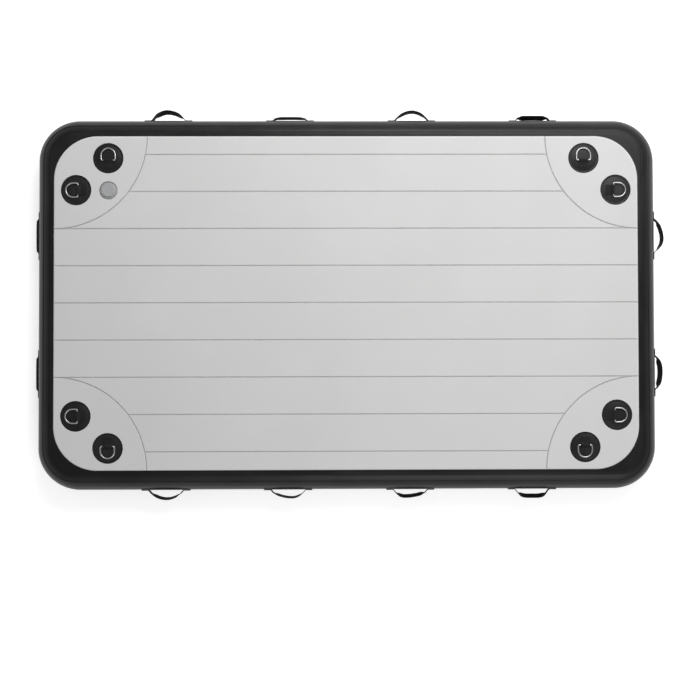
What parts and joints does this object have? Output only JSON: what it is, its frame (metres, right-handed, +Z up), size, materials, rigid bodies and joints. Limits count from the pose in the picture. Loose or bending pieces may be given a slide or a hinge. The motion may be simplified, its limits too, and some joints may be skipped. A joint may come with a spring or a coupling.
{
  "type": "inflatable floating island",
  "caption": "Flat rectangular inflatable swim platform with a grooved foam deck, D-rings on round patches, webbing loop handles round its side wall and a push valve under a cap.",
  "frame": {"origin": "on the ground, under the middle of the air chamber", "axes": "+X along the long side, to the right in the picture, +Y towards the long side that the valve is nearest to, +Z up out of the deck"},
  "size_m": [2.5571, 1.5942, 0.1615],
  "materials": {
    "charcoal_pvc": "satin",
    "black_pvc": "matte",
    "pale_foam": "matte",
    "black_webbing": "matte",
    "stainless": "polished",
    "grey_plastic": "satin",
    "black_rubber": "matte",
    "white_yarn": "matte"
  },
  "bodies": {
    "platform": {"bottom_skin": "charcoal_pvc", "d_ring_patch_back_left_long": "black_pvc", "d_ring_patch_back_left_short": "black_pvc", "d_ring_patch_back_right_long": "black_pvc", "d_ring_patch_back_right_short": "black_pvc", "d_ring_patch_front_left_long": "black_pvc", "d_ring_patch_front_left_short": "black_pvc", "d_ring_patch_front_right_long": "black_pvc", "d_ring_patch_front_right_short": "black_pvc", "deck_corner_back_left": "pale_foam", "deck_corner_back_right": "pale_foam", "deck_corner_front_left": "pale_foam", "deck_corner_front_right": "pale_foam", "deck_pad": "pale_foam", "drop_stitch_yarns": "white_yarn", "handle_patch_back_1": "black_webbing", "handle_patch_back_2": "black_webbing", "handle_patch_back_3": "black_webbing", "handle_patch_back_4": "black_webbing", "handle_patch_front_1": "black_webbing", "handle_patch_front_2": "black_webbing", "handle_patch_front_3": "black_webbing", "handle_patch_front_4": "black_webbing", "handle_patch_left_1": "black_webbing", "handle_patch_left_2": "black_webbing", "handle_patch_right_1": "black_webbing", "handle_patch_right_2": "black_webbing", "seam_tape_lower": "black_pvc", "seam_tape_upper": "black_pvc", "side_wall": "charcoal_pvc", "top_skin": "charcoal_pvc", "valve_body": "grey_plastic", "valve_gasket": "black_rubber", "valve_nut": "grey_plastic", "valve_spring": "stainless"},
    "d_ring_back_left_long": {"d_ring_back_left_long": "stainless"},
    "d_ring_back_left_short": {"d_ring_back_left_short": "stainless"},
    "d_ring_front_left_long": {"d_ring_front_left_long": "stainless"},
    "d_ring_front_left_short": {"d_ring_front_left_short": "stainless"},
    "d_ring_back_right_long": {"d_ring_back_right_long": "stainless"},
    "d_ring_back_right_short": {"d_ring_back_right_short": "stainless"},
    "d_ring_front_right_long": {"d_ring_front_right_long": "stainless"},
    "d_ring_front_right_short": {"d_ring_front_right_short": "stainless"},
    "handle_back_1": {"handle_back_1": "black_webbing"},
    "handle_back_2": {"handle_back_2": "black_webbing"},
    "handle_back_3": {"handle_back_3": "black_webbing"},
    "handle_back_4": {"handle_back_4": "black_webbing"},
    "handle_front_1": {"handle_front_1": "black_webbing"},
    "handle_front_2": {"handle_front_2": "black_webbing"},
    "handle_front_3": {"handle_front_3": "black_webbing"},
    "handle_front_4": {"handle_front_4": "black_webbing"},
    "handle_left_1": {"handle_left_1": "black_webbing"},
    "handle_left_2": {"handle_left_2": "black_webbing"},
    "handle_right_1": {"handle_right_1": "black_webbing"},
    "handle_right_2": {"handle_right_2": "black_webbing"},
    "valve_poppet_seal": {"valve_seal": "black_rubber"},
    "valve_stem": {"valve_stem": "grey_plastic"},
    "valve_cap_seal": {"valve_cap_seal": "black_rubber"},
    "valve_cap": {"valve_cap": "grey_plastic"}
  },
  "joints": [
    {"name": "d_ring_back_left_long_fold", "type": "hinge", "parent": "platform", "child": "d_ring_back_left_long", "pos_m": [-0.952, 0.572, 0.1559], "axis": [1, 0, 0], "range_deg": [0, 170]},
    {"name": "d_ring_back_left_short_fold", "type": "hinge", "parent": "platform", "child": "d_ring_back_left_short", "pos_m": [-1.072, 0.452, 0.1559], "axis": [0, 1, 0], "range_deg": [0, 170]},
    {"name": "d_ring_front_left_long_fold", "type": "hinge", "parent": "platform", "child": "d_ring_front_left_long", "pos_m": [-0.952, -0.572, 0.1559], "axis": [-1, 0, 0], "range_deg": [0, 170]},
    {"name": "d_ring_front_left_short_fold", "type": "hinge", "parent": "platform", "child": "d_ring_front_left_short", "pos_m": [-1.072, -0.452, 0.1559], "axis": [0, 1, 0], "range_deg": [0, 170]},
    {"name": "d_ring_back_right_long_fold", "type": "hinge", "parent": "platform", "child": "d_ring_back_right_long", "pos_m": [0.952, 0.572, 0.1559], "axis": [1, 0, 0], "range_deg": [0, 170]},
    {"name": "d_ring_back_right_short_fold", "type": "hinge", "parent": "platform", "child": "d_ring_back_right_short", "pos_m": [1.072, 0.452, 0.1559], "axis": [0, -1, 0], "range_deg": [0, 170]},
    {"name": "d_ring_front_right_long_fold", "type": "hinge", "parent": "platform", "child": "d_ring_front_right_long", "pos_m": [0.952, -0.572, 0.1559], "axis": [-1, 0, 0], "range_deg": [0, 170]},
    {"name": "d_ring_front_right_short_fold", "type": "hinge", "parent": "platform", "child": "d_ring_front_right_short", "pos_m": [1.072, -0.452, 0.1559], "axis": [0, -1, 0], "range_deg": [0, 170]},
    {"name": "handle_back_1_swing", "type": "hinge", "parent": "platform", "child": "handle_back_1", "pos_m": [-0.7275, 0.7639, 0.075], "axis": [1, 0, 0], "range_deg": [-52, 60]},
    {"name": "handle_back_2_swing", "type": "hinge", "parent": "platform", "child": "handle_back_2", "pos_m": [-0.2325, 0.76142, 0.075], "axis": [1, 0, 0], "range_deg": [-25, 25]},
    {"name": "handle_back_3_swing", "type": "hinge", "parent": "platform", "child": "handle_back_3", "pos_m": [0.2625, 0.7639, 0.075], "axis": [1, 0, 0], "range_deg": [-60, 60]},
    {"name": "handle_back_4_swing", "type": "hinge", "parent": "platform", "child": "handle_back_4", "pos_m": [0.7575, 0.7639, 0.075], "axis": [1, 0, 0], "range_deg": [-50, 60]},
    {"name": "handle_front_1_swing", "type": "hinge", "parent": "platform", "child": "handle_front_1", "pos_m": [-0.7365, -0.7639, 0.075], "axis": [-1, 0, 0], "range_deg": [-60, 60]},
    {"name": "handle_front_2_swing", "type": "hinge", "parent": "platform", "child": "handle_front_2", "pos_m": [-0.2415, -0.7639, 0.075], "axis": [-1, 0, 0], "range_deg": [-60, 60]},
    {"name": "handle_front_3_swing", "type": "hinge", "parent": "platform", "child": "handle_front_3", "pos_m": [0.2535, -0.7639, 0.075], "axis": [-1, 0, 0], "range_deg": [-50, 60]},
    {"name": "handle_front_4_swing", "type": "hinge", "parent": "platform", "child": "handle_front_4", "pos_m": [0.7485, -0.7639, 0.075], "axis": [-1, 0, 0], "range_deg": [-42, 60]},
    {"name": "handle_left_1_swing", "type": "hinge", "parent": "platform", "child": "handle_left_1", "pos_m": [-1.25993, 0.28, 0.075], "axis": [0, 1, 0], "range_deg": [-25, 25]},
    {"name": "handle_left_2_swing", "type": "hinge", "parent": "platform", "child": "handle_left_2", "pos_m": [-1.25919, -0.28, 0.075], "axis": [0, 1, 0], "range_deg": [-25, 25]},
    {"name": "handle_right_1_swing", "type": "hinge", "parent": "platform", "child": "handle_right_1", "pos_m": [1.2639, 0.28, 0.075], "axis": [0, -1, 0], "range_deg": [-58, 60]},
    {"name": "handle_right_2_swing", "type": "hinge", "parent": "platform", "child": "handle_right_2", "pos_m": [1.2639, -0.28, 0.075], "axis": [0, -1, 0], "range_deg": [-40, 60]},
    {"name": "valve_push", "type": "slide", "parent": "platform", "child": "valve_poppet_seal", "axis": [0, 0, 1], "range_m": [-0.006, 0], "stiffness_N_per_m": 400, "springref_m": 0.01, "deforming": ["valve_spring"]},
    {"name": "valve_turn", "type": "hinge", "parent": "valve_poppet_seal", "child": "valve_stem", "pos_m": [-0.951, 0.451, 0.15], "axis": [0, 0, 1], "range_deg": [0, 90]},
    {"name": "valve_cap_pull", "type": "slide", "parent": "platform", "child": "valve_cap_seal", "axis": [0, 0, 1], "range_m": [0, 0.022]},
    {"name": "valve_cap_turn", "type": "hinge", "parent": "valve_cap_seal", "child": "valve_cap", "pos_m": [-0.951, 0.451, 0.1555], "axis": [0, 0, 1], "range_deg": [0, 90]}
  ]
}
